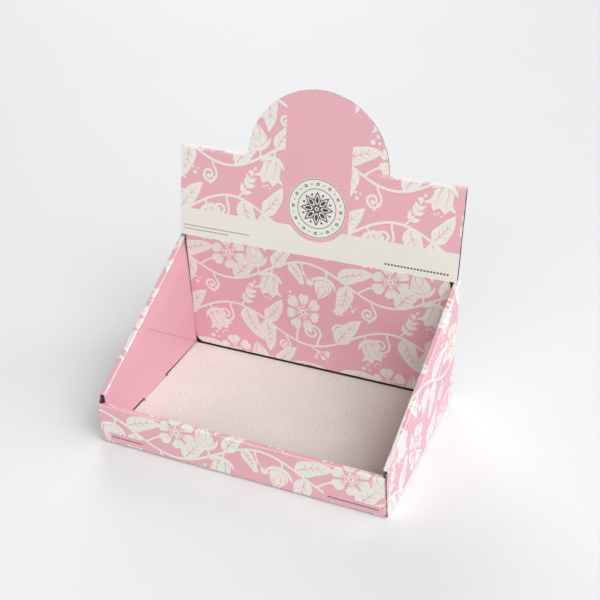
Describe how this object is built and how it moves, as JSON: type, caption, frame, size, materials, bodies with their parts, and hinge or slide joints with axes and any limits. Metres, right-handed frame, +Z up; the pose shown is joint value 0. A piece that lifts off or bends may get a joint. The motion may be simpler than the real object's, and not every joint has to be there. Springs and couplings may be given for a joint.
{
  "type": "display box",
  "caption": "Open counter display tray folded from one blank of thin printed corrugated board, with a low front, sloping sides and a stand-up header with a round arch.",
  "frame": {"origin": "middle of the tray's flat underside", "axes": "+Z up, -Y towards the low front wall, +X to the right as seen from the front"},
  "size_m": [0.25, 0.1796, 0.2555],
  "materials": {
    "printed_board": "satin pink and white print on the outside, bare greyish liner on the inside"
  },
  "bodies": {
    "root": {"display_box": "printed_board"}
  },
  "joints": []
}
